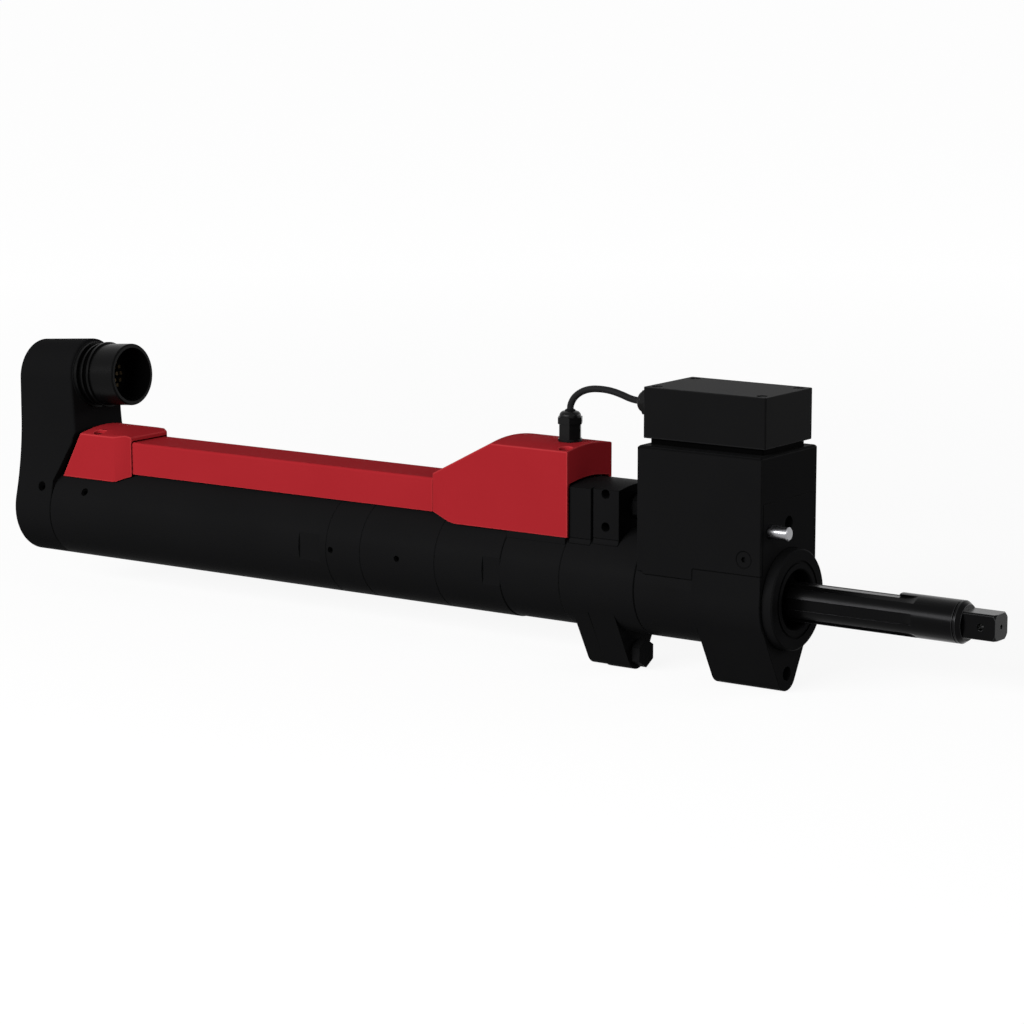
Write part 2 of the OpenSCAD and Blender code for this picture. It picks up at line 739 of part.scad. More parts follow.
module output_bearings() color("#b9bbbe") for (x = [bearing_front_x, bearing_back_x])
    bearing(x, bearing_r - press_gap, sleeve_r + run_gap, bearing_w);

module pilot_ring() color("#202022") x_turn() polygon([
    [pilot_bore_r, 0.8 - 6], [pilot_bore_r + 3.5, -6], [bearing_r + 3 - seat_gap, -6],
    [bearing_r + 3 - seat_gap, -relief_deep], [pilot_r - relief_gap, -relief_deep], [pilot_r - relief_gap, 0],
    [pilot_r, 0], [pilot_r, pilot_len - 1], [pilot_r - 1, pilot_len],
    [bearing_r - 2, pilot_len], [bearing_r - 2, pilot_len - 1.2],
    [bearing_r - 4, pilot_len - 1.2], [bearing_r - 4, pilot_len],
    [pilot_bore_r + 0.8, pilot_len], [pilot_bore_r, pilot_len - 0.8]
]);

module wiper_seal() color("#0e0e0f") x_turn() polygon([
    [sleeve_r + run_gap, sleeve_front - 10], [bearing_r - 2, sleeve_front - 10], [bearing_r - 2, -6],
    [pilot_bore_r + 3.6, -6], [pilot_bore_r + 0.2, -6.5], [sleeve_r + run_gap, sleeve_front - 4]
]);

module dowel_pin() color("#c9cbcd") translate([0, -dowel_y, dowel_z]) x_turn() polygon([
    [0, -dowel_in], [dowel_seat_r, -dowel_in], [dowel_seat_r, 0], [dowel_r, 0],
    [dowel_r, dowel_out - dowel_chamfer], [dowel_r - dowel_chamfer, dowel_out], [0, dowel_out]
]);

module sensor_cover() color("#1b1b1c") difference() {
    intersection() {
        translate([0, 0, cover_hem]) linear_extrude(block_top - cover_hem)
            round_rect(block_back, -block_w / 2, 0, block_w / 2, block_corner_r);
        y_prism(block_w + 2) edge_cut_rect(block_back, cover_hem, 0, block_top, 0, block_edge);
        x_prism(block_back - 1, 1)
            edge_cut_rect(-block_w / 2, cover_hem, block_w / 2, block_top, 0, block_edge);
    }
    translate([block_back + block_wall, -block_in, -1])
        cube([block_len - 2 * block_wall, 2 * block_in, block_top - block_wall + 1]);
    translate([-block_wall - 1, -block_in, -1]) cube([block_wall + 2, 2 * block_in, plate_top + 1 + seat_gap]);
    translate([-shelf_len - seat_gap, -block_w, -1]) cube([shelf_len + 1, 2 * block_w, shelf_z + 1]);
    x_rod(block_back - 1, 1, body_r + seat_gap);
    for (s = [-1, 1]) translate([block_back - 1, s * block_w / 2 - 4, 0]) cube([6, 8, shelf_z - 6.5]);
    translate([block_back + 22, 0, block_top - 10]) cylinder(r = 6, h = 20);
    for (s = [-1, 1]) translate([side_screw_x, s * block_w / 2, side_screw_z]) rotate([-s * 90, 0, 0])
    {
        translate([0, 0, -3]) cylinder(r1 = screw_head_r - 3, r2 = screw_head_r, h = 3 + eps);
        translate([0, 0, -block_wall - 1]) cylinder(r = 3 + seat_gap, h = block_wall + 1);
    }
}

module sensor_cover_screws() color("#2b2b2d") for (s = [-1, 1])
    translate([side_screw_x, s * (block_w / 2 - 0.2), side_screw_z]) rotate([-s * 90, 0, 0])
        flat_screw(screw_head_r - 0.4, 3, 15);

module box_base() color("#141415") difference() {
    translate([0, 0, block_top]) linear_extrude(box_gap) round_rect(
        box_x0 + base_inset, -box_w / 2 + base_inset, box_x1 - base_inset, box_w / 2 - base_inset, box_corner_r
    );
    translate([block_back + 22, 0, block_top - 1]) cylinder(r = 6, h = 20);
    box_corners(block_top - 1, box_gap + 2, 2);
}

// Places something at each corner screw of the electronics box
module at_box_corners(z) for (x = [box_x0 + box_screw_inset, box_x1 - box_screw_inset], s = [-1, 1])
    translate([x, s * (box_w / 2 - box_screw_inset), z]) children();

module box_corners(z0, h, r) at_box_corners(z0) cylinder(r = r, h = h);

module electronics_box() color("#1c1c1d") difference() {
    intersection() {
        translate([0, 0, box_z]) linear_extrude(box_h)
            round_rect(box_x0, -box_w / 2, box_x1, box_w / 2, box_corner_r);
        y_prism(box_w + 2) edge_cut_rect(box_x0, box_z, box_x1, box_top, box_edge, 0);
        x_prism(box_x0 - 1, box_x1 + 1) edge_cut_rect(-box_w / 2, box_z, box_w / 2, box_top, box_edge, 0);
    }
    difference() {
        translate([box_x0 + box_wall, -box_w / 2 + box_wall, box_z - 1])
            cube([box_len - 2 * box_wall, box_w - 2 * box_wall, box_h - box_wall + 1]);
        box_corners(box_z - 2, box_h + 4, 6);
    }
    box_corners(box_z - 1, box_h + 2, 2.2);
    box_corners(box_top - box_screw_deep, box_screw_deep + 1, 4);
    translate([0, 0, box_gland_z]) x_rod(box_x0 - 1, box_x0 + box_wall + 1, gland_hole_r);
}

module box_screws() color("#2b2b2d") at_box_corners(box_top - box_screw_deep)
    cap_screw(3.5, 3.6, 1.95, box_h - box_screw_deep + box_gap);

module circuit_board() color("#2c5a35") difference() {
    translate([0, 0, box_z]) linear_extrude(board_t)
        round_rect(box_x0 + 4.5, -box_w / 2 + 4.5, box_x1 - 4.5, box_w / 2 - 4.5, 1);
    box_corners(box_z - 1, board_t + 2, 6.3);
    translate([block_back + 22, 0, box_z - 1]) cylinder(r = 6, h = 20);
}

// A long round top over a cover, highest in the middle
module crown(half, z_side, rise) {
    crown_r = (half * half + rise * rise) / (2 * rise);
    translate([0, z_side + rise - crown_r]) circle(crown_r, $fn = 200);
}

// Solid of the front cover, drawn in by an inset for its hollow
module front_cover_solid(inset) intersection() {
    linear_extrude(cover_sky) polygon([
        [front_cover_x + 1 - 2 * inset, -front_cover_w / 2 + inset],
        [cover_tail_x + taper_len, -front_cover_w / 2 + inset],
        [cover_tail_x, -duct_w / 2 + inset], [cover_tail_x - inset, -duct_w / 2 + inset],
        [cover_tail_x - inset, duct_w / 2 - inset], [cover_tail_x, duct_w / 2 - inset],
        [cover_tail_x + taper_len, front_cover_w / 2 - inset],
        [front_cover_x + 1 - 2 * inset, front_cover_w / 2 - inset]
    ]);
    x_prism(cover_tail_x - 10, front_cover_x) crown(front_cover_w / 2, front_cover_z - inset, crown_rise);
    translate([slope_x, 0, front_cover_z - inset]) rotate([0, -slope_angle, 0])
        translate([0, 0, -front_cover_z]) x_prism(-2 * front_cover_len, 2 * front_cover_len)
            crown(front_cover_w / 2, front_cover_z, crown_rise);
    y_prism(2 * front_cover_w) polygon([
        [front_cover_x, saddle_z - inset], [front_cover_x, cover_sky], [cover_tail_x - 10, cover_sky],
        [cover_tail_x - 10, duct_low - inset], [cover_tail_x, duct_low - inset],
        [cover_tail_x + 27, saddle_z - inset]
    ]);
}

// Columns inside a cover that take its screws
module cover_bosses(x, z0, z1) for (s = [-1, 1]) translate([x, s * cover_screw_y, z0])
    cylinder(r = boss_r, h = z1 - z0);

module cover_screw_holes(x, z0, z_top) for (s = [-1, 1]) translate([x, s * cover_screw_y, 0]) {
    translate([0, 0, z0 - 1]) cylinder(r = cover_screw_r + 0.2, h = z_top);
    translate([0, 0, z_top - 6]) cylinder(r = 5, h = 20);
}

front_screw_z = front_cover_z + 1.4;
rear_screw_z = rear_cover_z + 2;

module front_cover() color("#a8202a") difference() {
    front_cover_solid(0);
    difference() {
        front_cover_solid(cover_wall);
        cover_bosses(front_screw_x, saddle_top, front_cover_z + 2);
    }
    x_prism(front_cover_x - 2 * cover_wall - 2, front_cover_x + 1) intersection() {
        translate([-raise_wide - 0.6, 0]) square([2 * raise_wide + 1.2, arch_top]);
        translate([0, arch_top - raise_crown_r]) circle(raise_crown_r, $fn = 200);
    }
    cover_screw_holes(front_screw_x, saddle_top, front_screw_z);
    translate([gland_x, 0, saddle_top]) cylinder(r = gland_hole_r + seat_gap, h = cover_sky - saddle_top);
}

module cable_duct() color("#a8202a") x_prism(duct_back, cover_tail_x - seat_gap) difference() {
    union() {
        round_rect(-duct_w / 2, duct_low, duct_w / 2, duct_top, 2);
        translate([-duct_w / 2, duct_low]) square([duct_w, 5]);
    }
    translate([-duct_w / 2 + 2, duct_low - 1]) square([duct_w - 4, duct_top - duct_low - 1]);
}

module rear_cover_solid(inset) intersection() {
    linear_extrude(cover_sky) polygon([
        [rear_cover_back - 20, -rear_cover_w / 2 + inset],
        [rear_cover_front - rear_nose_len, -rear_cover_w / 2 + inset],
        [rear_cover_front - inset, -duct_w / 2 - 1.2 + inset],
        [rear_cover_front - inset, duct_w / 2 + 1.2 - inset],
        [rear_cover_front - rear_nose_len, rear_cover_w / 2 - inset],
        [rear_cover_back - 20, rear_cover_w / 2 - inset]
    ]);
    x_prism(rear_cover_back - 10, rear_cover_front + 1)
        crown(rear_cover_w / 2, rear_cover_z - inset, rear_cover_rise);
    y_prism(2 * rear_cover_w) polygon([
        [rear_cover_back + inset, rear_cover_low - inset], [rear_cover_back + 24 + inset, rear_cover_low + 45],
        [rear_cover_front - rear_nose_len, rear_cover_low + 45],
        [rear_cover_front - rear_nose_len, rear_cover_z + rear_cover_rise - inset],
        [rear_cover_front, rear_cover_z + rear_cover_rise - rear_nose_drop - inset],
        [rear_cover_front, rear_cover_low + 4.6 - inset], [rear_cover_front - 6.5, rear_cover_low - inset]
    ]);
}

module rear_cover() color("#a8202a") difference() {
    rear_cover_solid(0);
    difference() {
        rear_cover_solid(cover_wall);
        cover_bosses(rear_screw_x, rear_saddle_top, rear_cover_z + 3);
    }
    x_prism(duct_back - 2, rear_cover_front + 1)
        translate([-duct_w / 2 - 0.15, 0]) square([duct_w + 0.3, duct_top + 0.15]);
    x_rod(motor_x, adapter_x, body_r + cover_lift);
    wire_way(motor_x, rear_screw_x);
    cover_screw_holes(rear_screw_x, rear_saddle_top, rear_screw_z);
}

module rear_saddle() color("#1d1d1e") difference() {
    translate([rear_screw_x - 12, 0, 0]) x_prism(0, 24)
        translate([-rear_cover_w / 2 + cover_wall + 0.5, 0])
            square([rear_cover_w - 2 * cover_wall - 1, rear_saddle_top]);
    x_rod(motor_x, adapter_x, body_r + seat_gap);
    wire_way(motor_x, adapter_x);
    for (s = [-1, 1]) translate([rear_screw_x, s * cover_screw_y, 0])
        cylinder(r = cover_screw_r, h = rear_saddle_top + 1);
}

module cover_screws() color("#2b2b2d") {
    for (s = [-1, 1]) translate([front_screw_x, s * cover_screw_y, front_screw_z - 6])
        cap_screw(4.25, 4, cover_screw_r - seat_gap, front_screw_z - saddle_top - 6 + 9);
    for (s = [-1, 1]) translate([rear_screw_x, s * cover_screw_y, rear_screw_z - 6])
        cap_screw(4.25, 4, cover_screw_r - seat_gap, rear_screw_z - rear_saddle_top - 6 + 9);
}

// The room that the wires need where they pass a wall
module wire_way(x0, x1) x_prism(x0, x1) translate([-wire_way_w / 2, 0]) square([wire_way_w, wire_way_top]);

// Three round wires that lie on top of the body
module wires(r, x0, x1) for (y = wire_y)
    translate([0, y, sqrt(pow(body_r + wire_r + 0.2, 2) - y * y)]) x_rod(x0, x1, r);

module wire_loom() color("#2a2a2c") wires(wire_r, motor_x - 10, transducer_x + 10);

// A cable gland standing on z = 0: flange, neck and the hexagon of its body
module gland_body(h) {
    difference() {
        union() {
            translate([0, 0, -6]) cylinder(r = gland_hole_r - seat_gap, h = 7);
            cylinder(r = gland_flange_r, h = 2);
            cylinder(r = gland_body_af / sqrt(3), h = h, $fn = 6);
        }
        translate([0, 0, -7]) cylinder(r = cable_r + seat_gap, h = h + 8);
    }
}

module gland_cap() difference() {
    union() {
        cylinder(r = gland_af / sqrt(3), h = gland_nut_h, $fn = 6);
        translate([0, 0, gland_nut_h - eps]) rotate_extrude() {
            square([gland_dome_r - gland_dome_round, gland_dome_h]);
            square([gland_dome_r, gland_dome_h - gland_dome_round]);
            translate([gland_dome_r - gland_dome_round, gland_dome_h - gland_dome_round])
                circle(gland_dome_round);
        }
    }
    translate([0, 0, -1]) cylinder(r = cable_r + seat_gap, h = gland_nut_h + gland_dome_h + 2);
}

module cover_gland() color("#232325") translate([gland_x, 0, gland_z]) gland_body(gland_h);

module cover_gland_nut() color("#232325") translate([gland_x, 0, gland_z + gland_h]) gland_cap();

module box_gland() color("#232325") translate([box_gland_x, 0, box_gland_z]) rotate([0, -90, 0])
    gland_body(box_gland_h);

module box_gland_nut() color("#232325") translate([box_gland_x - box_gland_h, 0, box_gland_z])
    rotate([0, -90, 0]) rotate(30) gland_cap();

// A tube swept along a route in the middle plane
function heading(p, i) = let (a = p[max(i - 1, 0)], b = p[min(i + 1, len(p) - 1)]) (b - a) / norm(b - a);
function sweep_ring(p, i, r, n) = let (t = heading(p, i), side = [-t[2], 0, t[0]])
    [for (k = [0 : n - 1]) p[i] + r * (cos(360 * k / n) * [0, 1, 0] + sin(360 * k / n) * side)];
function sweep_faces(rings, n) = concat(
    [[for (k = [n - 1 : -1 : 0]) k]],
    [for (i = [0 : rings - 2], k = [0 : n - 1]) let (j = (k + 1) % n) each [
        [i * n + k, i * n + j, i * n + n + j], [i * n + k, i * n + n + j, i * n + n + k]
    ]],
    [[for (k = [0 : n - 1]) (rings - 1) * n + k]]
);

module sensor_cable() color("#2c2c2e") polyhedron(
    points = [for (i = [0 : len(cable_route) - 1]) each sweep_ring(cable_route, i, cable_r, cable_sides)],
    faces = sweep_faces(len(cable_route), cable_sides)
);

module rotor_shaft() color("#9a9da1") {
    x_rod(rear_plate_x - resolver_len - 3, stage1_x - web_gap - web_t - 2, shaft_r);
    x_rod(stage1_x - web_gap - web_t - 3, stage1_x + 1, shaft_r - 2);
    x_prism(stage1_x, stage1_x + gear_face) sun_outline();
}

module rotor_magnets() color("#4a4c50")
    x_ring(stator_x + 4, stator_x + stator_len - 4, rotor_r, shaft_r + press_gap);

module resolver_rotor() color("#85878b")
    x_ring(rear_plate_x - resolver_len + 1, rear_plate_x - 2, 15.4, shaft_r + press_gap);

module carrier_1() color("#8d9095") {
    planet_cage(stage1_x);
    x_rod(stage1_x + gear_face + web_gap + web_t - 1, stage2_x + 1, shaft_r - 2);
    x_prism(stage2_x, stage2_x + gear_face) sun_outline();
}

module planet_pins_1() color("#b4b7bb") planet_pins(stage1_x);

module carrier_2() color("#8d9095") difference() {
    union() {
        planet_cage(stage2_x);
        x_rod(stage2_x + gear_face + web_gap + web_t - 1, transducer_x + 4, torque_r + 4);
    }
    x_rod(transducer_x - 10, transducer_x + 5, spigot_r + press_gap);
}

module planet_pins_2() color("#b4b7bb") planet_pins(stage2_x);

module torque_shaft() color("#a0a3a7") {
    x_rod(transducer_x - 9, transducer_x + 6, spigot_r);
    x_rod(transducer_x + 4.2, transducer_x + 16, torque_r);
    x_rod(transducer_x + 15, sleeve_back - 6, torque_neck_r);
    x_rod(sleeve_back - 7, sleeve_back - 0.2, torque_r);
    x_rod(sleeve_back - 1, sleeve_back + spigot_len, spigot_r);
}

// Cross section of the splined shaft: a disc with parallel grooves all round
module spline_section(r, depth, clear) difference() {
    circle(r);
    for (k = [0 : spline_count - 1]) rotate(k * 360 / spline_count) spline_groove(r, depth, clear);
}

groove_w = groove_share * 2 * PI * spindle_r / spline_count;
module spline_groove(r, depth, clear) translate([r - depth, -groove_w / 2 + clear])
    square([2 * depth, groove_w - 2 * clear]);

module drive_sleeve() color("#3a3b3e") difference() {
    x_turn() polygon([
        [0, sleeve_back], [sleeve_r, sleeve_back], [sleeve_r, sleeve_front - 1], [sleeve_r - 1, sleeve_front],
        [0, sleeve_front]
    ]);
    x_rod(sleeve_floor, spline_back, sleeve_bore_r);
    x_prism(spline_back - 1, sleeve_front + 1) spline_section(sleeve_bore_r, spline_depth, 0.15);
    x_rod(sleeve_back - 1, sleeve_back + spigot_len + 0.5, spigot_r + press_gap);
}

module return_spring() color("#7c7f84") {
    span = spring_bore_end - sleeve_floor - 2 * spring_wire_r - 0.2;
    steps = spring_turns * spring_steps;
    turn = 360 / spring_steps;
    points = [for (i = [0 : steps]) [
        sleeve_floor + spring_wire_r + 0.1 + span * i / steps,
        spring_r * cos(turn * i), spring_r * sin(turn * i)
    ]];
    polyhedron(
        points = [for (i = [0 : steps], k = [0 : 4]) points[i]
            + spring_wire_r * (cos(72 * k) * [1, 0, 0] + sin(72 * k) * [0, cos(turn * i), sin(turn * i)])],
        faces = sweep_faces(steps + 1, 5)
    );
}

module splined_spindle() color("#1e1e20") difference() {
    union() {
        x_turn() polygon([
            [0, spindle_back], [spindle_r - 1, spindle_back], [spindle_r, spindle_back + 1],
            [spindle_r, collar_groove_x], [spindle_r - 0.8, collar_groove_x + 0.4],
            [spindle_r - 0.8, collar_groove_x + 1.2], [spindle_r, collar_groove_x + 1.2],
            [spindle_r, shoulder_x - collar_chamfer], [collar_nose_r, shoulder_x], [0, shoulder_x]
        ]);
        intersection() {
            x_prism(shoulder_x - 1, shoulder_x + square_len)
                round_rect(-square_w / 2, -square_w / 2, square_w / 2, square_w / 2, 1.5);
            x_turn() polygon([
                [0, shoulder_x - 2], [square_tip_r + square_tip_len, shoulder_x - 2],
                [square_tip_r + square_tip_len, shoulder_x + square_len - square_tip_len],
                [square_tip_r, shoulder_x + square_len], [0, shoulder_x + square_len]
            ]);
        }
    }
    for (k = [0 : spline_count - 1]) rotate([90 + k * 360 / spline_count, 0, 0]) spline_cut();
    x_rod(spindle_back - 1, spring_bore_end, spring_bore_r);
    translate([spindle_back - 1, -slot_w / 2, spindle_r - slot_depth])
        cube([slot_end - spindle_back + 1, slot_w, 10]);
    translate([shoulder_x + square_len * 0.545, 0, 0]) rotate([90, 0, 0])
        cylinder(r = 2.6, h = 60, center = true);
    x_rod(shoulder_x + square_len - 8, shoulder_x + square_len + 1, 1.6);
    x_ring(spindle_back + 1, spindle_back + 1 + ring_stop_w, spindle_r + 1, spindle_r - 1.5);
}

// One spline groove, with the round run-out that a disc cutter leaves
module spline_cut() translate([0, -groove_w / 2, 0]) {
    translate([spindle_back - 1, 0, spindle_r - spline_depth])
        cube([spline_end - spindle_back + 1, groove_w, 10]);
    translate([spline_end, 0, spindle_r - spline_depth + runout_r]) rotate([-90, 0, 0])
        cylinder(r = runout_r, h = groove_w);
}

module stop_ring() color("#55575b") difference() {
    x_ring(spindle_back + 1.2, spindle_back + ring_stop_w + 0.8, sleeve_bore_r - 0.1, spindle_r - 1.45);
    translate([spindle_back, -slot_w / 2, 0]) cube([ring_stop_w + 2, slot_w, 2 * spindle_r]);
}

rear_head();
head_screws();
connector_shell();
connector_insert();
connector_pins();
motor_tube();
tube_screws();
rear_bearing_plate();
stator_core();
stator_windings();
resolver_stator();
motor_bearings();
motor_adapter();
gear_case_1();
gear_case_2();
case_set_screws();
transducer_body();
transducer_saddle();
mid_housing();
flange_bolts();
front_housing();
output_bearings();
pilot_ring();
wiper_seal();
dowel_pin();
sensor_cover();
sensor_cover_screws();
box_base();
electronics_box();
box_screws();
circuit_board();
front_cover();
cable_duct();
rear_cover();
rear_saddle();
cover_screws();
wire_loom();
cover_gland();
cover_gland_nut();
box_gland();
box_gland_nut();
sensor_cable();
rotor_shaft();
rotor_magnets();
resolver_rotor();
carrier_1();
planet_pins_1();
color("#a9acb0") planet(stage1_x, 0);  // planet_1a
color("#a9acb0") planet(stage1_x, 1);  // planet_1b
color("#a9acb0") planet(stage1_x, 2);  // planet_1c
carrier_2();
planet_pins_2();
color("#a9acb0") planet(stage2_x, 0);  // planet_2a
color("#a9acb0") planet(stage2_x, 1);  // planet_2b
color("#a9acb0") planet(stage2_x, 2);  // planet_2c
torque_shaft();
drive_sleeve();
return_spring();
splined_spindle();
stop_ring();
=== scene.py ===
# %% [markdown]
# # A tightening spindle for a fixture
# The real tool is a motor, two planetary stages and a torque transducer in one round body.
# A splined shaft with a square end slides out of its front. The CAD model already holds
# every piece at its true size, so this lesson is about looks: rounded edges, finishes with a
# grain, a cable, small rubber lips and ridges, and a plain studio around them.

# %% Load the CAD frame
import json
import math

import bpy
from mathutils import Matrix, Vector

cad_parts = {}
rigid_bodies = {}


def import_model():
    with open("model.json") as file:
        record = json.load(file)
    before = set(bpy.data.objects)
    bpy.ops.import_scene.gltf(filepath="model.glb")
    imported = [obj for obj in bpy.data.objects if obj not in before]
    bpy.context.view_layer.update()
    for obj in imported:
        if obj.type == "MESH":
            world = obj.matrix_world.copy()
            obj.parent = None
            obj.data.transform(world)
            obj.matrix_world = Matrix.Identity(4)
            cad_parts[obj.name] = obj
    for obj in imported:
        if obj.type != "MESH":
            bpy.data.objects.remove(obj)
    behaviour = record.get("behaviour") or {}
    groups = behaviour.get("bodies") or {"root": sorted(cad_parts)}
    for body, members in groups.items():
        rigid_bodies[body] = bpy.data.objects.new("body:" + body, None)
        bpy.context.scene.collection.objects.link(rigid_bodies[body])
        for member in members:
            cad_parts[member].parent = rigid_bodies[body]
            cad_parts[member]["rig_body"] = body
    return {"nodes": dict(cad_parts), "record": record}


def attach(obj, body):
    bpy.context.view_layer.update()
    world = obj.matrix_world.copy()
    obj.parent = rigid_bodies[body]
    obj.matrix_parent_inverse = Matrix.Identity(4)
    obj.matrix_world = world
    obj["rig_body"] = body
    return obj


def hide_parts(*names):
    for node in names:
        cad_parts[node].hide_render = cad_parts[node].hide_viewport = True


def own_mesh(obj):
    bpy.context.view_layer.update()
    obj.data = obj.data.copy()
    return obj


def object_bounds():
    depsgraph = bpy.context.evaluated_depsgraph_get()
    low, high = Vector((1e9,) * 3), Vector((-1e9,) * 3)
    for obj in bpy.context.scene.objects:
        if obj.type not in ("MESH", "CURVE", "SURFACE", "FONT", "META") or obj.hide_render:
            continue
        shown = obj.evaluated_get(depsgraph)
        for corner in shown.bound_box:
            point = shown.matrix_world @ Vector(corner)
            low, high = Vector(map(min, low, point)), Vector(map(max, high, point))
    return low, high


MM = 0.001
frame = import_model()
cad_low, cad_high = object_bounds()
print("CAD nodes:", len(frame["nodes"]), "box:", [round(v, 3) for v in cad_high - cad_low])


# %% [markdown]
# ## Working as by hand
# Operators act on what is selected, and loading leaves all the CAD nodes selected. Two small
# helpers keep that in order: one clears the selection, and one makes a single object the
# one being worked on. A third selects edges by a test, because no mouse is at hand, and a
# fourth adds a modifier and applies it at once.

# %% Selection helpers
def deselect_all():
    if bpy.context.mode != "OBJECT":
        bpy.ops.object.mode_set(mode="OBJECT")
    bpy.ops.object.select_all(action="DESELECT")


def work_on(piece):
    deselect_all()
    piece.select_set(True)
    bpy.context.view_layer.objects.active = piece


def edit_edges(piece, wanted):
    """Goes to edit mode with those edges selected that wanted() accepts."""
    work_on(piece)
    bpy.ops.object.mode_set(mode="EDIT")
    bpy.ops.mesh.select_mode(type="EDGE")
    bpy.ops.mesh.select_all(action="DESELECT")
    bpy.ops.object.mode_set(mode="OBJECT")
    chosen = [edge for edge in piece.data.edges if wanted(edge)]
    for edge in chosen:
        edge.select = True
    bpy.ops.object.mode_set(mode="EDIT")
    return len(chosen)


def apply_modifier(piece, kind, **settings):
    work_on(piece)
    modifier = piece.modifiers.new(kind.lower(), kind)
    for name, value in settings.items():
        setattr(modifier, name, value)
    bpy.ops.object.modifier_apply(modifier=modifier.name)


deselect_all()

# %% [markdown]
# ## Camera
# The photograph was solved for its camera: a long lens, a little above the tool and to its
# right, looking back along the body. A long lens keeps the far tail nearly as large as the
# near square drive.

# %% Camera
CAMERA_AZIMUTH = math.radians(35.053)
CAMERA_ELEVATION = math.radians(10.020)
CAMERA_PLACE = Vector((1229.1, -2102.1, 493.0)) * MM
LENS_MM, SENSOR_MM = 119.35, 36
VIEW_END = 200
camera_data = bpy.data.cameras.new("camera")
camera_data.lens = LENS_MM
camera_data.sensor_width = SENSOR_MM
camera_data.clip_end = VIEW_END
camera = bpy.data.objects.new("camera", camera_data)
bpy.context.scene.collection.objects.link(camera)
camera_back = Vector((
    math.sin(CAMERA_AZIMUTH) * math.cos(CAMERA_ELEVATION),
    -math.cos(CAMERA_AZIMUTH) * math.cos(CAMERA_ELEVATION),
    math.sin(CAMERA_ELEVATION),
))
camera.location = CAMERA_PLACE
camera.rotation_mode = "QUATERNION"
camera.rotation_quaternion = (-camera_back).to_track_quat("-Z", "Y")
bpy.context.scene.camera = camera
print("camera at", [round(v, 3) for v in camera.location])


# %% [markdown]
# ## Finishes
# Nearly all of the tool is black, but not one black. The housings are satin, the tail head is
# painted, the shaft is oiled black steel and the connector is darker still. Every finish
# here is the same small recipe: slow clouds vary the colour, and a fine grain varies the gloss
# and raises the surface a little. Only the numbers differ.

# %% The recipe for a finish
CLOUD_SCALE, CLOUD_DETAIL = 16, 5
GRAIN_DETAIL, GRAIN_HEIGHT = 3, 0.2 * MM
# the colour sockets of a Mix node go by number, as several sockets share a name
MIX_SHARE, MIX_DARK, MIX_LIGHT, MIX_COLOUR = 0, 6, 7, 2
BLUE_TINT = 1.04


def finish(name, dark, light, rough, specular=0.5, metallic=0.0, grain=900, relief=0.02,
           stretch=(1, 1, 1)):
    """Colours run from dark to light in slow clouds, and gloss over the rough pair in a fine grain."""
    material = bpy.data.materials.new(name)
    material.use_nodes = True
    nodes, links = material.node_tree.nodes, material.node_tree.links
    shader = nodes["Principled BSDF"]
    shader.inputs["Metallic"].default_value = metallic
    shader.inputs["Specular IOR Level"].default_value = specular
    place = nodes.new("ShaderNodeTexCoord").outputs["Object"]

    clouds = nodes.new("ShaderNodeTexNoise")
    clouds.inputs["Scale"].default_value = CLOUD_SCALE
    clouds.inputs["Detail"].default_value = CLOUD_DETAIL
    links.new(place, clouds.inputs["Vector"])
    shade = nodes.new("ShaderNodeMix")
    shade.data_type = "RGBA"
    shade.inputs[MIX_DARK].default_value = (*dark, 1)
    shade.inputs[MIX_LIGHT].default_value = (*light, 1)
    links.new(clouds.outputs["Fac"], shade.inputs[MIX_SHARE])
    links.new(shade.outputs[MIX_COLOUR], shader.inputs["Base Color"])

    turn = nodes.new("ShaderNodeMapping")
    turn.inputs["Scale"].default_value = stretch
    links.new(place, turn.inputs["Vector"])
    fine = nodes.new("ShaderNodeTexNoise")
    fine.inputs["Scale"].default_value = grain
    fine.inputs["Detail"].default_value = GRAIN_DETAIL
    links.new(turn.outputs["Vector"], fine.inputs["Vector"])
    gloss = nodes.new("ShaderNodeMapRange")
    gloss.inputs["To Min"].default_value = rough[0]
    gloss.inputs["To Max"].default_value = rough[1]
    links.new(fine.outputs["Fac"], gloss.inputs["Value"])
    links.new(gloss.outputs["Result"], shader.inputs["Roughness"])
    bump = nodes.new("ShaderNodeBump")
    bump.inputs["Strength"].default_value = relief
    bump.inputs["Distance"].default_value = GRAIN_HEIGHT
    links.new(fine.outputs["Fac"], bump.inputs["Height"])
    links.new(bump.outputs["Normal"], shader.inputs["Normal"])
    return material


def grey(level):
    return (level, level, level * BLUE_TINT)


# %% [markdown]
# The numbers follow the photograph: black faces are close to ink, so their gloss is low. Each
# finish that ends in edge or painted_highlight belongs to the rounds of a piece, and the paler
# ones are a painted highlight. The red covers are powder coated, with the fine orange-peel skin
# that such paint has.

# %% The finishes
black_satin = finish("black_satin", grey(0.0066), grey(0.0086), (0.34, 0.44), 0.002)
black_edge = finish("black_edge", grey(0.0030), grey(0.0046), (0.40, 0.50), 0.006)
# box rounds: paler grey than the box faces, a painted highlight along the box's edges
box_edge = finish("box_edge", grey(0.010), grey(0.015), (0.40, 0.50), 0.012)
black_paint = finish(
    "black_paint", grey(0.0064), grey(0.0084), (0.50, 0.62), 0.0015, grain=1400, relief=0.05)
black_steel = finish(
    "black_steel", grey(0.0042), grey(0.0060), (0.22, 0.30), 0.04, metallic=0.7, grain=500, relief=0.01,
    stretch=(6, 1, 1))
box_black = finish(
    "box_black", grey(0.0056), grey(0.0074), (0.44, 0.54), 0.012, grain=1400, relief=0.05)
